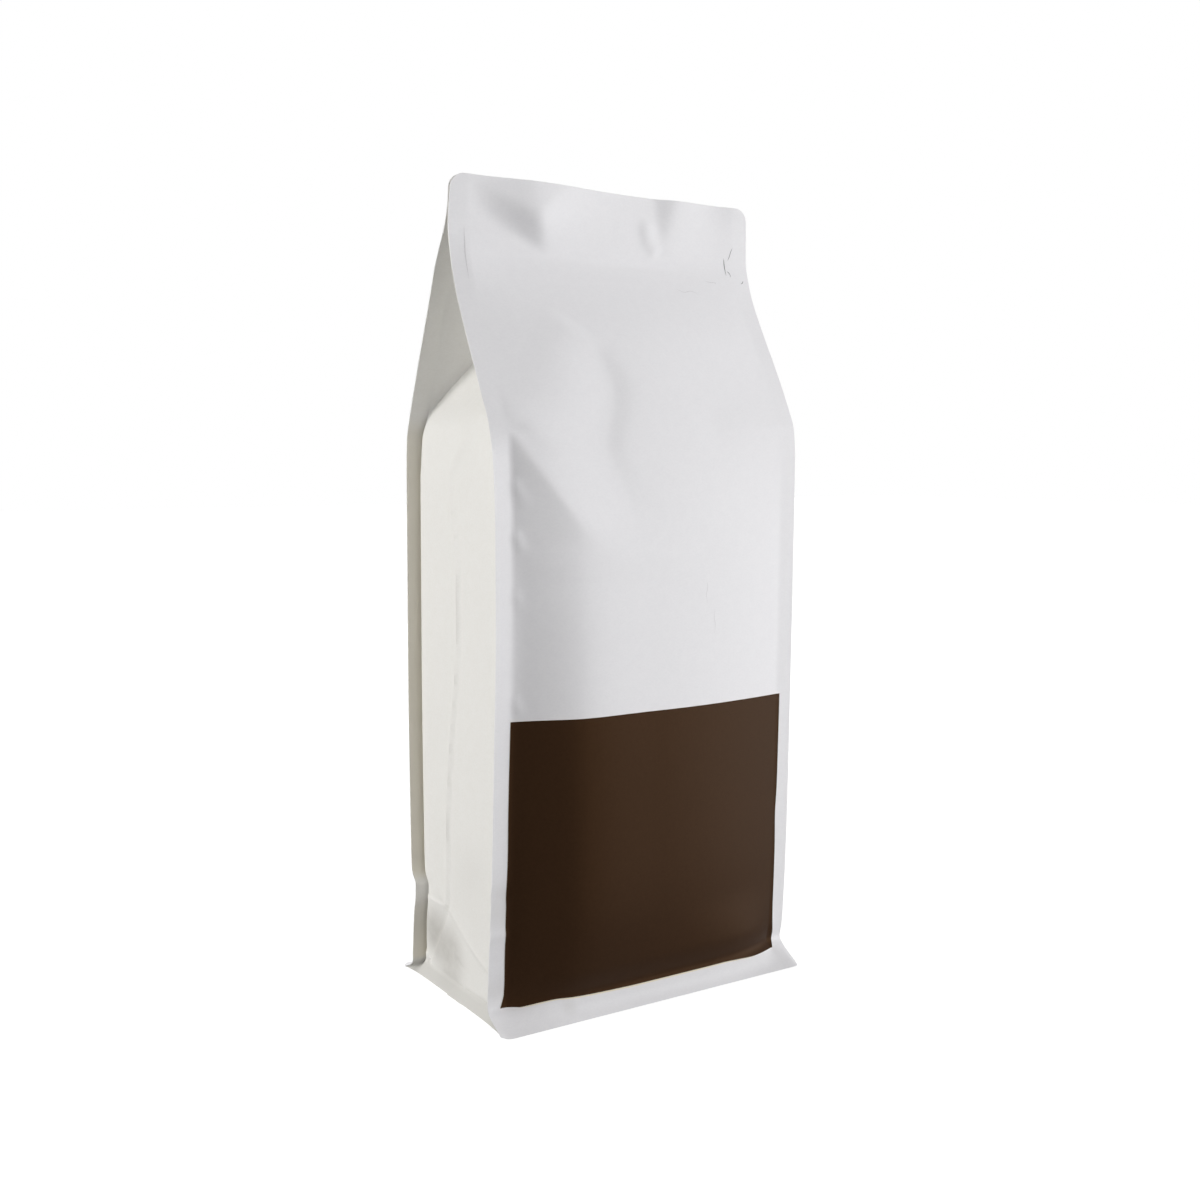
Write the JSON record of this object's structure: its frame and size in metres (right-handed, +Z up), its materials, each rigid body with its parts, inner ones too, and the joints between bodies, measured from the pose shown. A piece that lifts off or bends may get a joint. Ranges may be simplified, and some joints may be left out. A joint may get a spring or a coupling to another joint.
{
  "type": "coffee bag",
  "caption": "Tall flat-bottom coffee bag, filled and standing, with upright corner seals, folded side gussets, a sealed skirt round the foot and a plain label.",
  "frame": {"origin": "centre of the footprint on the surface that the bag stands on", "axes": "+Z up, +X to the right along the front panel, -Y towards whoever faces the label"},
  "size_m": [0.152, 0.1018, 0.34],
  "materials": {
    "paper_laminate": "matt white coated paper",
    "label_print": "satin dark brown print"
  },
  "bodies": {
    "root": {"bag": "paper_laminate", "label": "label_print"}
  },
  "joints": []
}
